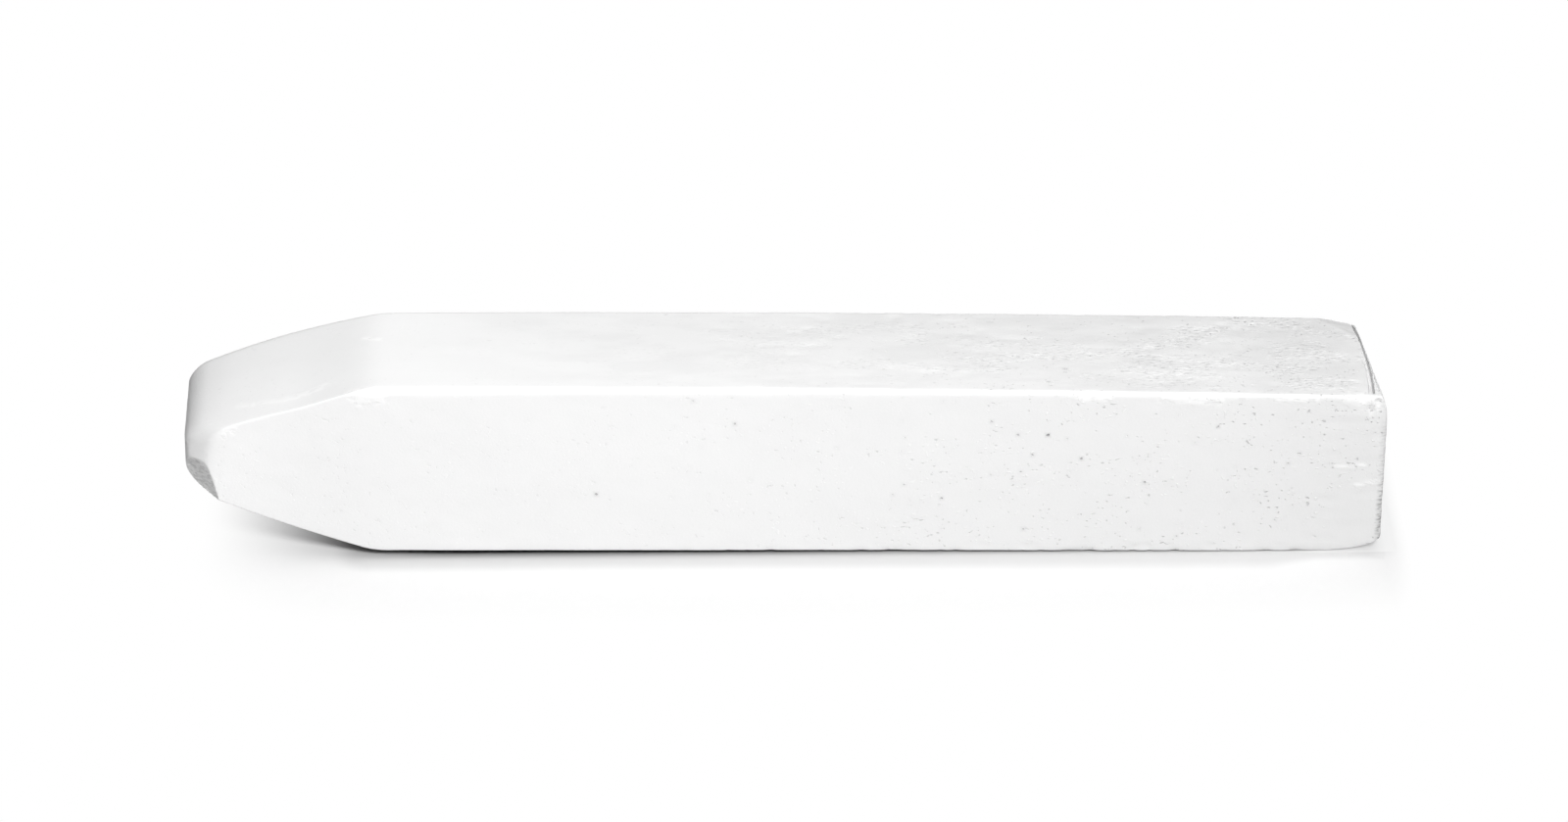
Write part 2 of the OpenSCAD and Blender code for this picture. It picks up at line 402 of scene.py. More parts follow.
def cutCorner(points, corner, cut, seed):
    # What lies beyond the plane through the corner's three reaches moves back to it, with a rough face of
    # two grains, the finer at half strength.
    outward = -1 / np.array(cut["reach"])
    outward /= np.linalg.norm(outward)
    onPlane = np.array(corner) + [cut["reach"][0], 0, 0]
    fineGrain = cut["grain"] / 2.3
    noise = softNoise(points, cut["grain"], seed) + 0.5 * softNoise(points, fineGrain, seed + 1)
    gap = (points - onPlane) @ outward + cut["rough"] * (0.6 + noise)
    if "soft" in cut:  # a rounded rim, deepest where the planes meet
        beyond = cut["soft"] * np.logaddexp(0, gap / cut["soft"])
        beyond = np.where(gap > -3 * cut["soft"], beyond, 0)
    else:
        snapToCut(points, gap)
        beyond = np.maximum(gap, 0)
    points -= beyond[..., None] * outward
    fullDepth = 0.1  # cut this deep, the face is wholly broken
    return ramp(beyond, 0, fullDepth)


def wearCorners(points):
    # Cuts each worn corner in turn, and returns how far the skin is broken at the nose's lower one.
    noseFrontX = noseX + form["noseSkew"] * form["noseWidth"] / 2
    noseFrontTop = form["noseRise"] + form["noseHeight"] - form["taperTilt"] * form["noseWidth"]
    front = -form["noseWidth"] / 2
    back = stickWidth / 2
    corners = dict(
        rubbedNose=[noseFrontX, front, noseFrontTop],
        rolledNose=[noseFrontX, front, noseFrontTop],
        brokenNose=[noseFrontX, front, form["noseRise"]],
        droopedButt=[buttX - form["buttSkew"] * back, back, form["buttHeight"]],
    )
    worn = {name: cutCorner(points, corner, cuts[name], seeds[name]) for name, corner in corners.items()}
    return worn["brokenNose"]


def grooveDepth(x, y, z):
    # The groove's line is a parabola across the stick, leant by its skew. Its depth is full between its
    # walls and falls off over them, and the crack beyond it wanders by a sine.
    back = stickWidth / 2
    centre = buttX - groove["inset"] + groove["bow"] * (1 - (y / back) ** 2) - groove["skew"] * y
    share = np.clip((back - y) / stickWidth, 0, 1)
    halfGap = (groove["backWidth"] + (groove["frontWidth"] - groove["backWidth"]) * share) / 2
    stop = groove["stop"] - back
    ends = ramp(y, stop, stop + groove["stopLength"])
    low, high = (form["buttHeight"] - fall for fall in groove["lowestPart"])
    onTop = ramp(z, low, high)
    start, end = groove["wall"]
    cut = groove["depth"] * (1 - ramp(np.abs(x - centre), halfGap * start, halfGap * end)) * ends
    sway, turns = groove["crackSway"]
    crack = np.abs(x - centre - groove["crackInset"] + sway * np.sin(y * turns))
    cracked = 1 - ramp(crack, groove["crackWidth"] * groove["crackCore"], groove["crackWidth"])
    length = ramp(y, *groove["crackStart"]) * (1 - ramp(y, *groove["crackEnd"]))
    return (cut + groove["crackDepth"] * cracked * length) * onTop


def nearStreaks(points, streaks):  # 1 on a streak, fading to 0 beyond its reach
    near = np.zeros(points.shape[:-1])
    for start, end, reach in streaks:
        start, run = np.array(start), np.array(end) - start
        share = np.clip((points - start) @ run / (run @ run), 0, 1)
        away = np.linalg.norm(points - start - share[..., None] * run, axis=-1)
        near = np.maximum(near, 1 - ramp(away, marks["core"] * reach, marks["streakFade"] * reach))
    return near


def relief(points, normals):
    # Depth below the cast skin at every point, the groove's straight down from there, how far the skin is
    # struck off, crumbled or cut into, and where the finish paints shade on the nose's end. A mark's depth
    # is its noise times where it occurs.
    x, y, z = (points[..., i] for i in range(3))
    up, out = normals[..., 2], normals[..., 1]
    halfWidth = stickWidth / 2

    def grain(name):  # a mark's own noise, from -1 to 1
        return softNoise(points, marks[name + "Grain"], seeds[name])

    def halfGrain(name):  # the same from 0 to 1
        return 0.5 + 0.5 * grain(name)

    topness = ramp(up, *marks["faceLean"])
    sideness = ramp(np.abs(out), *marks["faceLean"])
    patch = grain("patch")
    swayed = x + marks["patchSway"] * patch
    struck = topness * ramp(swayed, *marks["struckRun"])
    scraped = topness * ramp(swayed, *marks["scrapedRun"])
    depth = marks["waveDepth"] * halfGrain("wave")
    depth += marks["sideDepth"] * (1 - topness) * (1 + grain("side"))
    depth += marks["streakDepth"] * scraped * halfGrain("streak")
    gouges = np.maximum(0, grain("gouge") - marks["gougeStart"])
    depth += marks["gougeDepth"] * scraped * gouges * (1 + patch)
    ridges = np.maximum(0, grain("ridge"))
    depth += marks["ridgeDepth"] * sideness * ramp(x, *marks["ridgeRun"]) * ridges
    wornEdge = ramp(up, *marks["edgeLean"]) * ramp(-up, *marks["edgeLeanEnd"])
    wornEdge = wornEdge * ramp(x, *marks["edgeRun"])
    depth += marks["edgeDepth"] * wornEdge * halfGrain("edge")

    inner, outer = (halfWidth - inset for inset in marks["crumbInset"])
    lowEdge = ramp(marks["crumbHeight"] - z, 0, marks["crumbFade"]) * ramp(np.abs(y), inner, outer)
    crumbs = np.maximum(0, grain("crumb") - marks["crumbStart"])
    depth += marks["crumbDepth"] * lowEdge * crumbs * ramp(x, *marks["crumbRun"])

    edgeX = buttX - form["buttSkew"] * y  # where the skewed butt ends across the stick
    start, end = (edgeX - reach for reach in marks["buttReach"])
    inner, outer = (halfWidth - inset for inset in marks["buttInset"])
    buttEdge = ramp(x, start, end) * ramp(np.abs(y), inner, outer)
    upper = marks["buttUpperShare"]
    buttEdge = buttEdge * (upper + (1 - upper) * ramp(-z, *marks["buttLowerPart"]))
    depth += marks["buttDepth"] * buttEdge * halfGrain("butt")
    # Lower down, the broken butt edges are rough: a stronger bump, and painted shade in the finish.
    buttEdge = buttEdge * (1 - ramp(z, *marks["buttPlainHeight"]))
    for place, reach, deep in marks["nicks"]:
        away = np.linalg.norm(points - np.array(place), axis=-1)
        depth += deep * (1 - ramp(away, marks["core"] * reach, reach))

    cut = grooveDepth(x, y, z)
    scratched = nearStreaks(points, scratches)
    # Painted shade in the groove, fuller towards its front, and the scratches' own dark go to the finish as
    # sunk.
    shaded = groove["backShare"] + (1 - groove["backShare"]) * ramp(-y, *groove["frontRun"])
    sunk = np.maximum(ramp(cut, *groove["shownDepth"]) * shaded, marks["scratchDark"] * scratched)
    # Painted shade on the nose's end above its middle, except where it turns to the front.
    noseShaded = ramp(-x, *marks["noseShadeRun"]) * ramp(z, *marks["noseShadeHeight"])
    noseShaded = noseShaded * (1 - ramp(-out, *marks["noseShadeLean"]))
    looks = dict(struck=struck, rough=buttEdge, sunk=sunk, noseShade=noseShaded)
    return depth + marks["scratchDepth"] * scratched, cut, looks


# Air bubbles that burst at the mould: how many to a square millimetre, and how wide they are.
bubbles = dict(
    sideCount=(0.008, 0.11),  # at the nose, at the butt
    topCount=(0.0, 0.03),
    countRun=(-30, 40),
    topLean=(0.9, 0.97),  # how squarely a face must look up to count as the top
    flatLean=0.9,  # and how squarely any way, to be a flat
    room=0.22,  # smallest grid step beside a bubble
    radius=(0.03, 0.075),
    smallShare=2.2,  # the higher, the more of them are small
    largeRadius=0.12,
    largeSpread=(0.6, 1),
    depthShare=1.15,
    depthSpread=(0.7, 1.1),
    stretch=0.5,
    rings=((1.0, 0.0), (0.86, 0.45), (0.5, 0.85)),  # share of the radius, share of the depth
    # share of a pit's painted shade at each ring, from the rim in
    ringShade=(0.25, 1, 1),
    large=((-7.1, 14.0), (-3.8, 11.9), (9.4, 5.4), (10.2, 6.1), (13.3, 5.0), (16.9, 4.5), (17.5, 4.9),
           (17.5, 12.0), (19.6, 10.9), (20.8, 9.0), (22.1, 10.7), (24.8, 8.6), (20.1, 2.1), (30.2, 6.5),
           (33.1, 1.5), (35.1, 3.2), (35.8, 2.8), (36.2, 11.7), (42.0, 8.2), (42.9, 9.2), (44.5, 3.9),
           (47.2, 13.0), (-15.2, 5.3)),  # the largest ones on the front: along, up
    largeTop=((23.6, -3.0), (25.7, -0.6)),  # along, across
)


def bubblePlaces(points, normals, rng):
    # A bubble sits on a grid vertex that is well inside a flat, with no other within two steps. Its chance
    # is a random number over the count for the vertex's own patch, and the measured ones are certain.
    rows, columns = points.shape[:2]
    x = points[..., 0]
    topness = ramp(normals[..., 2], *bubbles["topLean"])
    toButt = ramp(x, *bubbles["countRun"])
    sideCount, topCount = (few + (many - few) * toButt
                           for few, many in (bubbles["sideCount"], bubbles["topCount"]))
    count = sideCount + (topCount - sideCount) * topness
    along = np.linalg.norm(np.gradient(points, axis=0), axis=-1)
    across = np.linalg.norm(np.roll(points, -1, axis=1) - points, axis=-1)
    chance = rng.random((rows, columns)) / np.maximum(count * along * across, 1e-9)
    large = np.zeros((rows, columns), bool)
    for name, axis, face in (("large", 2, -normals[..., 1]), ("largeTop", 1, normals[..., 2])):
        otherFace = np.where(face > bubbles["flatLean"], 0, np.inf)
        for spotX, spotOther in bubbles[name]:
            away = np.hypot(x - spotX, points[..., axis] - spotOther) + otherFace
            spot = np.unravel_index(np.argmin(away), away.shape)
            chance[spot] = 0
            large[spot] = True
    roomy = (along > bubbles["room"]) & (across > bubbles["room"])
    roomy &= np.abs(normals).max(axis=-1) > bubbles["flatLean"]
    chance[~roomy] = np.inf
    best = np.ones((rows, columns), bool)
    for i in range(-2, 3):
        for j in range(-2, 3):
            if i or j:
                best &= chance < np.roll(chance, (i, j), axis=(0, 1))
    chosen = best & (chance < 1)
    chosen[:3] = False  # none beside a pole
    chosen[-3:] = False
    return np.argwhere(chosen), large[chosen]


def burstBubbles(points, normals, rng):
    # Round each chosen vertex the four quads give way to rings of eight vertices that step down into a pit:
    # the rings lie on spokes to its eight neighbours, drawn out along the pit's own direction.
    rows, columns = points.shape[:2]
    place, large = bubblePlaces(points, normals, rng)
    count = len(place)
    steps = np.array([(-1, -1), (-1, 0), (-1, 1), (0, 1), (1, 1), (1, 0), (1, -1), (0, -1)])
    i = place[:, :1] + steps[:, 0]
    j = (place[:, 1:] + steps[:, 1]) % columns
    border = i * columns + j
    centre = points[place[:, 0], place[:, 1]]
    normal = normals[place[:, 0], place[:, 1]]
    spoke = points[i, j] - centre[:, None]
    spoke /= np.linalg.norm(spoke, axis=-1, keepdims=True)
    low, high = bubbles["radius"]
    radius = low + (high - low) * rng.random(count) ** bubbles["smallShare"]
    largeRadius = bubbles["largeRadius"] * rng.uniform(*bubbles["largeSpread"], count)
    radius = np.where(large, largeRadius, radius)
    turn = rng.uniform(0, math.pi, count)
    side = np.cross(normal, [1.0, 0, 0])
    grain = np.cos(turn)[:, None] * np.array([1.0, 0, 0]) + np.sin(turn)[:, None] * side
    pull = (spoke * grain[:, None]).sum(axis=-1, keepdims=True) * grain[:, None]
    spoke = spoke + pull * (bubbles["stretch"] * rng.random(count) ** 2)[:, None, None]
    depth = radius * bubbles["depthShare"] * rng.uniform(*bubbles["depthSpread"], count)
    rings = []
    for outShare, depthShare in bubbles["rings"]:
        ring = centre[:, None] + spoke * (radius * outShare)[:, None, None]
        rings.append(ring - normal[:, None] * (depth * depthShare)[:, None, None])
    bottom = centre - normal * depth[:, None]
    # Painted shade in a pit, more in a larger one.
    darkness = np.clip(radius / bubbles["largeRadius"], 0, 1) ** 2
    return place, border, np.stack(rings, axis=1), bottom, darkness


def stickFaces(rows, columns, place, border, ringStart, ringCount):
    # Quads of the grid without those that bubbles took, the bubbles' own rings, and a fan at each pole.
    index = np.arange(rows * columns).reshape(rows, columns)
    poles = index[0, 0], index[-1, 0]
    a, b = index[1:-2], index[2:-1]
    quads = np.stack([a, np.roll(a, -1, axis=1), np.roll(b, -1, axis=1), b], axis=-1)
    kept = np.ones((rows, columns), bool)
    for i, j in ((-1, -1), (-1, 0), (0, -1), (0, 0)):
        kept[place[:, 0] + i, (place[:, 1] + j) % columns] = False
    quads = quads[kept[1:-2]]
    loops = [border]
    for k in range(ringCount):
        loops.append(ringStart + (np.arange(len(place))[:, None] * ringCount + k) * 8 + np.arange(8))
    walls = [np.stack([outer, inner, np.roll(inner, -1, axis=1), np.roll(outer, -1, axis=1)], axis=-1)
             for outer, inner in zip(loops, loops[1:])]
    quads = np.vstack([quads] + [wall.reshape(-1, 4) for wall in walls])
    centre = np.repeat(index[place[:, 0], place[:, 1]][:, None], 8, axis=1)
    last = loops[-1]
    fans = [np.stack([last, centre, np.roll(last, -1, axis=1)], axis=-1).reshape(-1, 3)]
    first, final = index[1], index[-2]
    fans.append(np.stack([np.full(columns, poles[0]), np.roll(first, -1), first], axis=-1))
    fans.append(np.stack([np.full(columns, poles[1]), final, np.roll(final, -1)], axis=-1))
    return quads, np.vstack(fans)


def makeStick():
    # The cast skin, with its corners cut, moved in along its normals by the depth of its marks and straight
    # down by the groove's, and then pitted.
    points = castSkin()
    broken = wearCorners(points)
    normals = facing(points)
    depth, cut, looks = relief(points, normals)
    points = points - normals * depth[..., None]
    points[..., 2] -= cut
    rows, columns = points.shape[:2]
    print("skin of", rows, "by", columns, "points with its marks")

    rng = np.random.default_rng(seeds["bubbles"])
    looks["dust"] = nearStreaks(points, dust)
    # The broken nose face counts as rough too: a stronger bump, and painted shade in the finish.
    looks["rough"] = np.maximum(marks["brokenRough"] * broken, looks["rough"])
    place, border, rings, bottom, darkness = burstBubbles(points, facing(points), rng)
    points[place[:, 0], place[:, 1]] = bottom
    ringStart = rows * columns
    quads, fans = stickFaces(rows, columns, place, border, ringStart, rings.shape[1])
    everything = np.vstack([points.reshape(-1, 3), rings.reshape(-1, 3)])
    bottoms = place[:, 0] * columns + place[:, 1]
    inPlace = np.repeat(bottoms, rings.shape[1] * rings.shape[2])
    # The pits' painted shade, at their bottoms and rings.
    pits = np.zeros(len(everything))
    pits[bottoms] = darkness
    share = np.array(bubbles["ringShade"])[None, :, None]
    pits[ringStart:] = (share * darkness[:, None, None] * np.ones(rings.shape[:3])).ravel()
    layers = {"pit": pits}
    for name, values in looks.items():
        layers[name] = np.concatenate([values.ravel(), values.ravel()[inPlace]])
    print("bubbles", len(place))

    everything = np.clip(everything, lowest, highest)  # the looks stay inside the solid's box
    used = np.zeros(len(everything), bool)
    used[quads.ravel()] = True
    used[fans.ravel()] = True
    renumber = np.cumsum(used) - 1
    mesh = bpy.data.meshes.new("chalkStick")
    faces = renumber[quads].tolist() + renumber[fans].tolist()
    mesh.from_pydata((everything[used] * mm).tolist(), [], faces)
    for name, values in layers.items():
        layer = mesh.attributes.new(name, "FLOAT", "POINT")
        layer.data.foreach_set("value", values[used].astype(np.float32))
    mesh.shade_smooth()
    mesh.set_sharp_from_angle(angle=skin["sharpAngle"])
    mesh.update()
    piece = bpy.data.objects.new("chalkStick", mesh)
    bpy.context.scene.collection.objects.link(piece)
    print("stick", len(mesh.vertices), "vertices", sum(len(f) - 2 for f in faces), "triangles")
    return piece


class Tap:  # a shader socket that takes arithmetic: each operation adds a Math node
    def __init__(self, tree, socket):
        self.tree = tree
        self.socket = socket

    def math(self, operation, *values):
        return addNode(self.tree, "ShaderNodeMath", dict(operation=operation), values)

    def __add__(self, other):
        return self.math("ADD", self, other)

    def __radd__(self, other):
        return self.math("ADD", other, self)

    def __sub__(self, other):
        return self.math("SUBTRACT", self, other)

    def __rsub__(self, other):
        return self.math("SUBTRACT", other, self)

    def __mul__(self, other):
        return self.math("MULTIPLY", self, other)

    def __rmul__(self, other):
        return self.math("MULTIPLY", other, self)

    def atLeast(self, other):
        return self.math("MAXIMUM", self, other)

    def atMost(self, other):
        return self.math("MINIMUM", self, other)


def addNode(tree, kind, settings=None, inputs=(), output=0):
    # Makes any node: its settings are set first, then the value or link of each socket.
    made = tree.nodes.new(kind)
    for name, value in (settings or {}).items():
        setattr(made, name, value)
    pairs = inputs.items() if isinstance(inputs, dict) else enumerate(inputs)
    for key, value in pairs:
        if isinstance(value, Tap):
            tree.links.new(value.socket, made.inputs[key])
        else:
            made.inputs[key].default_value = value
    return Tap(tree, made.outputs[output]) if len(made.outputs) else made


def smoothStep(tree, value, start, end, low=0.0, high=1.0):  # low before start, high after end
    inputs = {"Value": value, "From Min": start, "From Max": end, "To Min": low, "To Max": high}
    return addNode(tree, "ShaderNodeMapRange", dict(interpolation_type="SMOOTHSTEP"), inputs)


def seenRays(tree):  # 1 for camera, mirror and see-through rays, 0 for the light that surfaces throw back
    seen, mirrored, through = (addNode(tree, "ShaderNodeLightPath", output=ray) for ray in (0, 3, 6))
    return seen.atLeast(mirrored).atLeast(through)


def newMaterial(name):  # a material without nodes, and its tree
    material = bpy.data.materials.new(name)
    material.use_nodes = True
    material.node_tree.nodes.clear()
    return material, material.node_tree


# The chalk's finish: how white it is, what makes it lighter or darker and by how much, how coarse its grain
# and marks are, and where along, across and up the stick each of them sets in.
chalk = dict(
    white=0.9,
    dulling=0.09,  # darker towards the butt by this much
    dullingRun=(-20 * mm, 50 * mm),
    buttDulling=0.035,  # and more over the last centimetre
    buttRun=(36 * mm, 50 * mm),
    struckDulling=0.035,  # the struck top is darker than the cast sides, most of all along its back
    backDulling=0.05,
    backRun=(-6 * mm, 4 * mm),
    paintedTaperShade=0.055,  # painted shade on the taper's top along its back, which faces less to the front
    taperRun=(-37 * mm, -33 * mm),
    taperBackRun=(-7 * mm, 5 * mm),
    paintedLowShade=0.022,  # painted shade: the sides are a little darker low down, near the floor
    lowRun=(2 * mm, 11 * mm),
    lowAtNose=0.6,  # share of it at the nose
    mottle=0.009,
    patch=0.038,
    patchEdge=(0.38, 0.62),  # noise values between which a pattern fades in
    patchOnSides=0.15,  # share of it off the struck top
    powder=0.012,
    clusterEdge=(0.46, 0.57),
    clusterRun=(-30 * mm, 45 * mm),
    clusterMost=1.35,
    clusterAcross=(4 * mm, 6.5 * mm),  # clusters keep off the top's long edges, except near the butt
    clusterEdgeRun=(24 * mm, 36 * mm),
    paleFleck=0.07,
    paleFleckEdge=(0.57, 0.63),
    # darker grain, and painted shade in the low points of the flecks' relief
    darkFleckShade=0.12,
    darkFleckEdge=(0.34, 0.4),
    nickGroupEdge=(0.42, 0.56),
    nickAtNose=0.25,  # share of them at the nose
    nickDark=0.2,
    nickDarkEdge=(0.28, 0.33),
    nickPale=0.07,
    nickPaleEdge=(0.66, 0.71),
    dustPale=0.085,
    dustEdge=(0.36, 0.54),
    lipPale=0.03,  # the struck top is paler close to the groove
    lipRun=(45.5 * mm, 48.5 * mm),
    # painted shade in the groove, and the scratches' own dark
    grooveShadeAndScratch=0.15,
    noseLift=0.03,
    noseRun=(-46 * mm, -38 * mm),
    paintedNoseShade=0.088,  # painted shade on its end above the middle, which faces away from the lamps
    # painted shade inside the bubbles' pits
    pitShade=0.5,
    # painted shade on the broken nose corner and on the butt's broken upright edges
    brokenFaceShade=0.11,
    hatchEdge=(0.45, 0.6),
    # and painted shade in the hatching over them
    hatchShade=0.3,
    roughness=0.86,
    smoothRoughness=0.74,  # at the nose
    gloss=0.3,
    bumpDepth=0.05 * mm,
    bumps=dict(powder=0.2, fleck=1.2, nick=0.5, dust=0.4, rough=1.4),  # heights as shares of that depth
    darkNickBump=1.6,  # how much deeper a dark nick is than a pale one is high
    shadeRange=(0.05, 0.95),
    # Noise: size, detail, scale along, across and up the stick, and a shift that keeps it from the others.
    noises=dict(
        mottle=(7 * mm, 2.0, (1.0, 1.0, 1.0), 0.0),
        patch=(3.2 * mm, 3.0, (0.45, 1.0, 1.0), 0.2),
        powder=(0.22 * mm, 3.0, (1.0, 1.0, 1.0), 0.3),
        cluster=(3.0 * mm, 3.0, (0.45, 1.0, 1.0), 0.5),
        fleck=(0.25 * mm, 2.0, (0.5, 1.0, 1.0), 0.7),
        nickGroup=(2.6 * mm, 2.0, (1.0, 1.0, 1.0), 0.1),
        nick=(0.3 * mm, 1.5, (0.8, 1.0, 1.0), 0.9),
        hatch=(0.3 * mm, 2.0, (0.4, 0.6, 1.5), 1.1),
        dust=(0.5 * mm, 3.0, (0.6, 1.0, 1.0), 1.3),
    ),
    noiseRoughness=0.55,
)


def chalkFinish():
    # The shade is the white, less each dulling and mark times where it occurs. A pattern is noise stepped
    # between two of its values, and the same patterns raise and sink the surface.
    material, tree = newMaterial("castChalk")
    place = addNode(tree, "ShaderNodeTexCoord", output=3)
    along, across, up = (addNode(tree, "ShaderNodeSeparateXYZ", inputs=(place,), output=axis)
                         for axis in range(3))
    pit, rough, struck, sunk, noseShaded, dusty = (
        addNode(tree, "ShaderNodeAttribute", dict(attribute_name=name), output=2)
        for name in ("pit", "rough", "struck", "sunk", "noseShade", "dust"))

    def noise(name):
        grain, detail, scale, shift = chalk["noises"][name]
        mapping = {"Vector": place, "Location": (shift, shift, shift), "Scale": scale}
        drawn = addNode(tree, "ShaderNodeMapping", inputs=mapping)
        return addNode(tree, "ShaderNodeTexNoise", inputs={
            "Vector": drawn, "Scale": 1 / grain, "Detail": detail, "Roughness": chalk["noiseRoughness"]})

    def risen(value, span):  # 0 below the span, 1 above it
        return smoothStep(tree, value, *chalk[span])

    def fallen(value, span):  # 1 below the span, 0 above it
        return smoothStep(tree, value, *chalk[span], 1.0, 0.0)

    toButt = risen(along, "dullingRun")
    toBack = risen(across, "backRun")
    mottle = noise("mottle") - 0.5
    patch = risen(noise("patch"), "patchEdge") - 0.5
    powder = noise("powder") - 0.5
    # Flecks of the struck top keep together in clusters.
    cluster = risen(noise("cluster"), "clusterEdge") * struck
    inward = across.math("ABSOLUTE", across)
    cluster = cluster * fallen(inward, "clusterAcross").atLeast(risen(along, "clusterEdgeRun"))
    cluster = cluster * smoothStep(tree, along, *chalk["clusterRun"], 0.0, chalk["clusterMost"])
    fleck = noise("fleck")
    paleFleck = risen(fleck, "paleFleckEdge") * cluster
    # Dark flecks: darker grain, and painted shade where the flecks' relief is lowest.
    darkFleckShade = fallen(fleck, "darkFleckEdge") * cluster
    # Small nicks lie scattered over every side, in loose groups.
    fewer = chalk["nickAtNose"]
    nickHere = risen(noise("nickGroup"), "nickGroupEdge") * (fewer + (1 - fewer) * toButt)
    nick = noise("nick")
    darkNick = fallen(nick, "nickDarkEdge") * nickHere
    paleNick = risen(nick, "nickPaleEdge") * nickHere
    hatch = risen(noise("hatch"), "hatchEdge") * rough
    dustHere = risen(noise("dust"), "dustEdge") * dusty

    shade = chalk["white"] - chalk["dulling"] * toButt - chalk["buttDulling"] * risen(along, "buttRun")
    shade = shade + chalk["noseLift"] * fallen(along, "noseRun")
    shade = shade + chalk["lipPale"] * risen(along, "lipRun") * struck
    # Painted shade low on the sides, near the floor, more of it towards the butt.
    low = fallen(up, "lowRun") * (chalk["lowAtNose"] + (1 - chalk["lowAtNose"]) * toButt)
    # Where the taper's top carries painted shade along its back.
    onTaper = fallen(along, "taperRun") * risen(across, "taperBackRun")
    # Painted shade on the nose's end and on the back of the taper's top.
    shade = shade - chalk["paintedNoseShade"] * noseShaded - chalk["paintedTaperShade"] * onTaper
    shade = shade - chalk["paintedLowShade"] * low
    shade = shade - (chalk["struckDulling"] + chalk["backDulling"] * toBack) * struck
    shade = shade + 2 * chalk["mottle"] * mottle + 2 * chalk["powder"] * powder
    onSides = chalk["patchOnSides"]
    shade = shade + chalk["patch"] * patch * (onSides + (1 - onSides) * struck)
    shade = shade + chalk["paleFleck"] * paleFleck - chalk["darkFleckShade"] * darkFleckShade
    shade = shade + chalk["nickPale"] * paleNick - chalk["nickDark"] * darkNick
    # Painted shade in the bubbles' pits and in the groove; the scratches' dark is their own.
    shade = shade + chalk["dustPale"] * dustHere - chalk["pitShade"] * pit - chalk["grooveShadeAndScratch"] * sunk
    # Painted shade on the broken faces and in their hatching.
    shade = shade - chalk["brokenFaceShade"] * rough - chalk["hatchShade"] * hatch
    darkest, palest = chalk["shadeRange"]
    shade = shade.atLeast(darkest).atMost(palest)
    colour = addNode(tree, "ShaderNodeCombineColor", inputs=(shade, shade, shade))

    bumps = chalk["bumps"]
    height = bumps["powder"] * powder + bumps["fleck"] * (fleck - 0.5) * cluster
    height = height + bumps["nick"] * (paleNick - chalk["darkNickBump"] * darkNick)
    height = height + bumps["dust"] * dustHere + bumps["rough"] * rough * powder
    bump = addNode(tree, "ShaderNodeBump", inputs={"Distance": chalk["bumpDepth"], "Height": height})
    roughness = chalk["roughness"] - (chalk["roughness"] - chalk["smoothRoughness"]) * (1 - toButt)
    surface = addNode(tree, "ShaderNodeBsdfPrincipled", inputs={
        "Base Color": colour, "Roughness": roughness, "Normal": bump, "Specular IOR Level": chalk["gloss"]})
    addNode(tree, "ShaderNodeOutputMaterial", inputs={"Surface": surface})
    return material


# A white table that fades into a white backdrop away from where the stick rests, with a painted shadow
# in the gap under it and just in front of it, and painted light under the butt's foot. Camera, mirror and
# see-through rays meet both, and the light that it throws back is weaker.
table = dict(
    halfSize=2.0,
    drop=0.01 * mm,
    slope=0.0095,
    white=0.745,
    bounce=0.27,
    gapShadowWhite=0.03,
    skirtShadowWhite=0.62,  # painted shadow: a darker white just in front of the stick, over the next few millimetres
    skirtSpan=(1 * mm, 2.7 * mm),
    skirtStretch=0.78,  # it reaches further out beside the butt
    skirtStretchRun=(-20 * mm, 40 * mm),
    skirtAtFoot=1.9,  # and less far in front of the foot
    skirtFootRun=(40 * mm, 46 * mm),
    skirtRun=(48.5 * mm, 51 * mm),  # where it ends along the stick
    gapDepth=1.5 * mm,  # how far under the stick's front the painted shadow reaches
    gapReach=0.15 * mm,  # and how far in front of it that starts
    gapRun=(-38 * mm, -26 * mm),  # where along the taper it sets in
    gapFade=(-5 * mm, 30 * mm),  # and where it fades again towards the butt
    footShadowLift=0.45,  # painted light: share of backdrop white that lifts the shade under the butt's foot
    footReach=0.4 * mm,
    footBlend=2 * mm,
    fadeStart=0.5 * mm,
    fadeEnd=11.5 * mm,
    fadeNearer=(0.75, 4.5),  # the fade is further off beyond the shoulder, and nearer beyond the butt
)


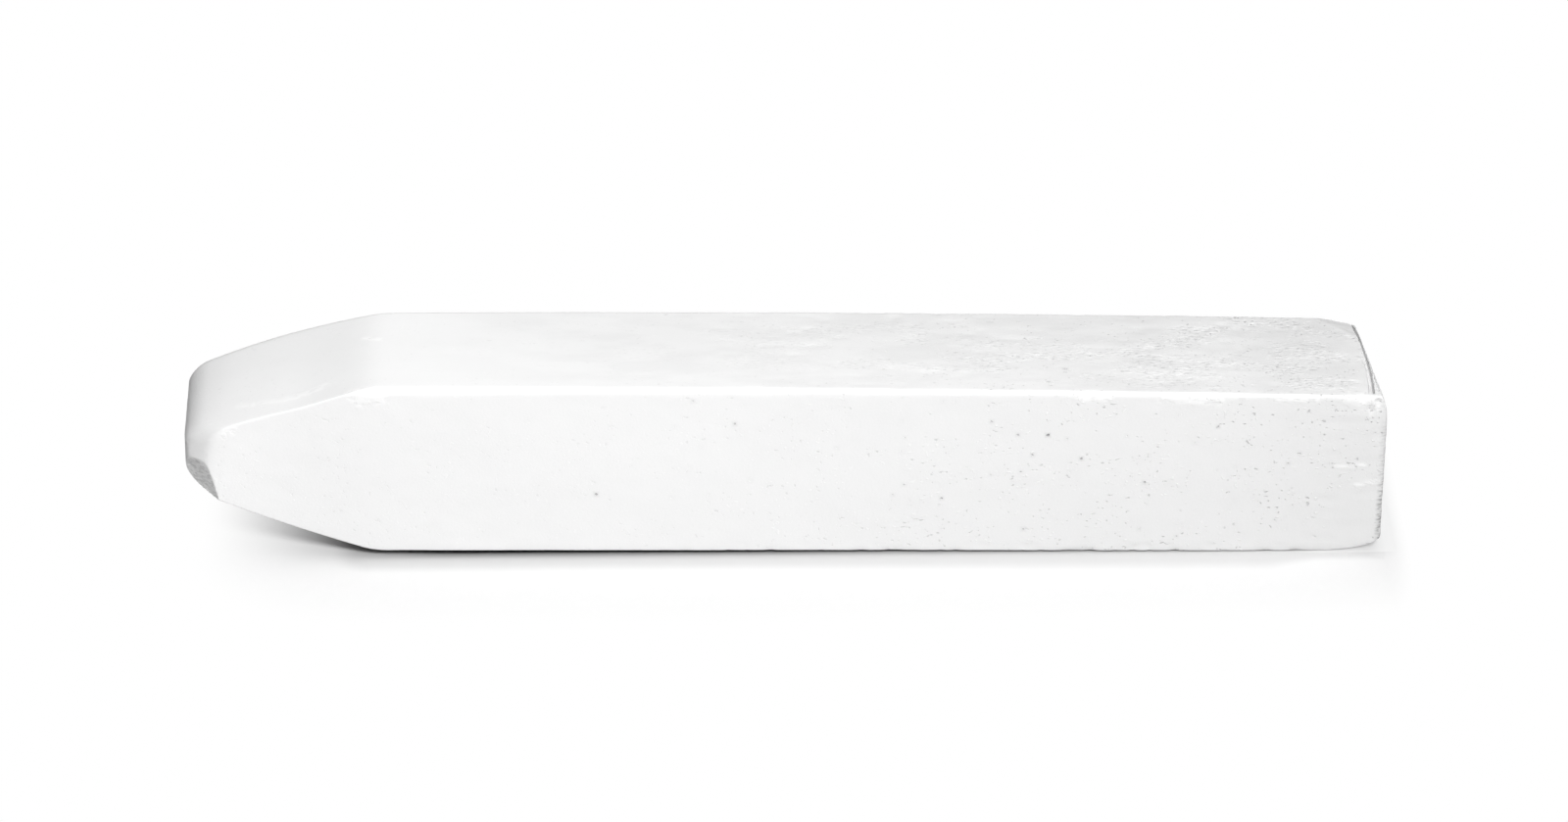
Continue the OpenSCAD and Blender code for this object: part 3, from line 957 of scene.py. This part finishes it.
def layTable():
    # Four corners of a plane that rises by its slope from where the stick rests. Its shader blends by the
    # distance from the stick's outline seen from above, and by the place along it.
    half = table["halfSize"]
    mesh = bpy.data.meshes.new("table")
    heel = (buttX - form["footLength"]) * mm  # the stick rests here, and its nose clears the table by a hair
    level = lowest[2] * mm - table["drop"]
    corners = [(x, y, level + (x - heel) * table["slope"])
               for x, y in ((-half, -half), (half, -half), (half, half), (-half, half))]
    mesh.from_pydata(corners, [], [(0, 1, 2, 3)])
    floor = bpy.data.objects.new("table", mesh)
    bpy.context.scene.collection.objects.link(floor)
    material, tree = newMaterial("whiteTable")
    place = addNode(tree, "ShaderNodeTexCoord", output=3)
    along, across = (addNode(tree, "ShaderNodeSeparateXYZ", inputs=(place,), output=axis) for axis in (0, 1))
    front = -stickWidth / 2 * mm
    toNose, toButt = table["fadeNearer"]
    pastShoulder = toNose * (shoulderX * mm - along)
    pastButt = toButt * (along - stickLength / 2 * mm)
    beyondX = pastShoulder.atLeast(pastButt).atLeast(0.0)
    beyondY = (front - across).atLeast(across + front).atLeast(0.0)
    squares = beyondX * beyondX + beyondY * beyondY
    distance = squares.math("SQRT", squares)
    matte, skirt, thrown, shaded = (
        addNode(tree, "ShaderNodeBsdfDiffuse", inputs={"Color": (table[name],) * 3 + (1.0,)})
        for name in ("white", "skirtShadowWhite", "bounce", "gapShadowWhite"))
    # A painted shadow, the skirt, just in front of the stick, reaching further beside the butt.
    reach = distance * smoothStep(tree, along, *table["skirtStretchRun"], 1.0, table["skirtStretch"])
    reach = reach * smoothStep(tree, along, *table["skirtFootRun"], 1.0, table["skirtAtFoot"])
    pastSkirt = smoothStep(tree, reach, *table["skirtSpan"])
    pastSkirt = pastSkirt.atLeast(smoothStep(tree, along, *table["skirtRun"]))
    matte = addNode(tree, "ShaderNodeMixShader", inputs=(pastSkirt, skirt, matte))
    inward = across.math("ABSOLUTE", across)
    # A painted shadow in the gap under the stick's front, along the taper and the bar.
    gap = smoothStep(tree, inward, -front - table["gapDepth"], -front + table["gapReach"], 1.0, 0.0)
    gap = gap * smoothStep(tree, along, *table["gapRun"])
    gap = gap * smoothStep(tree, along, heel, heel + table["footBlend"], 1.0, 0.0)
    gap = gap * smoothStep(tree, along, *table["gapFade"], 1.0, 0.0)
    matte = addNode(tree, "ShaderNodeMixShader", inputs=(gap, matte, shaded))
    glow = addNode(tree, "ShaderNodeEmission", inputs={"Color": (1, 1, 1, 1), "Strength": 1.0})
    fade = smoothStep(tree, distance, table["fadeStart"], table["fadeEnd"])
    # Painted light: backdrop white lifts the shade under the butt's foot.
    underFoot = smoothStep(tree, along, heel - table["footBlend"], heel + table["footBlend"],
                           0.0, table["footShadowLift"])
    underStick = smoothStep(tree, inward, -front, -front + table["footReach"], 1.0, 0.0)
    lit = addNode(tree, "ShaderNodeMixShader", inputs=(fade.atLeast(underFoot * underStick), matte, glow))
    blend = addNode(tree, "ShaderNodeMixShader", inputs=(seenRays(tree), thrown, lit))
    addNode(tree, "ShaderNodeOutputMaterial", inputs={"Surface": blend})
    mesh.materials.append(material)


# Soft studio light: square panels that face the stick, each with its azimuth (front 0, right 90),
# elevation, size and power, and a dim surround that shows as white.
studio = dict(
    panelDistance=0.9,
    panels=dict(
        overhead=(60, 76, 0.9, 3.95),
        front=(10, 40, 0.18, 8.53),
    ),
    surround=0.02,
    shownAs=1.0,
)


def lightStudio():
    # A panel hangs at its two angles on a sphere round the stick's middle and looks inwards.
    for name, (azimuth, elevation, width, power) in studio["panels"].items():
        turn, lift = math.radians(azimuth), math.radians(elevation)
        level = math.cos(lift)
        aim = mathutils.Vector((math.sin(turn) * level, -math.cos(turn) * level, math.sin(lift)))
        light = bpy.data.lights.new(name, "AREA")
        light.shape = "SQUARE"
        light.size = width
        light.energy = power
        panel = bpy.data.objects.new(name, light)
        panel.location = mathutils.Vector(tuple(middle * mm)) + aim * studio["panelDistance"]
        panel.rotation_euler = (-aim).to_track_quat("-Z", "Y").to_euler()
        bpy.context.scene.collection.objects.link(panel)
    world = bpy.data.worlds.new("whiteRoom")
    bpy.context.scene.world = world
    world.use_nodes = True
    tree = world.node_tree
    tree.nodes.clear()
    dim, bright = (
        addNode(tree, "ShaderNodeBackground", inputs={"Color": (1, 1, 1, 1), "Strength": studio[name]})
        for name in ("surround", "shownAs"))
    blend = addNode(tree, "ShaderNodeMixShader", inputs=(seenRays(tree), dim, bright))
    addNode(tree, "ShaderNodeOutputWorld", inputs={"Surface": blend})


# The camera looks straight at the front side from a little above.
view = dict(
    elevation=math.radians(26.93),
    distance=0.4498,
    lens=123.5,
    sensorWidth=36.0,
    aim=(0.37 * mm, 0.0, 9.29 * mm),
)


def placeCamera():  # at its distance from the aim, back and up by the elevation, looking at it
    data = bpy.data.cameras.new("camera")
    data.sensor_width = view["sensorWidth"]
    data.lens = view["lens"]
    camera = bpy.data.objects.new("camera", data)
    back = mathutils.Vector((0, -math.cos(view["elevation"]), math.sin(view["elevation"])))
    camera.location = mathutils.Vector(view["aim"]) + back * view["distance"]
    camera.rotation_euler = (-back).to_track_quat("-Z", "Y").to_euler()
    bpy.context.scene.collection.objects.link(camera)
    bpy.context.scene.camera = camera


bpy.context.scene.view_settings.view_transform = "Standard"
placeCamera()
stick = makeStick()
stick.data.materials.append(chalkFinish())
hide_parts(node)
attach(stick, "root")
layTable()
lightStudio()
print("table, light and camera placed")
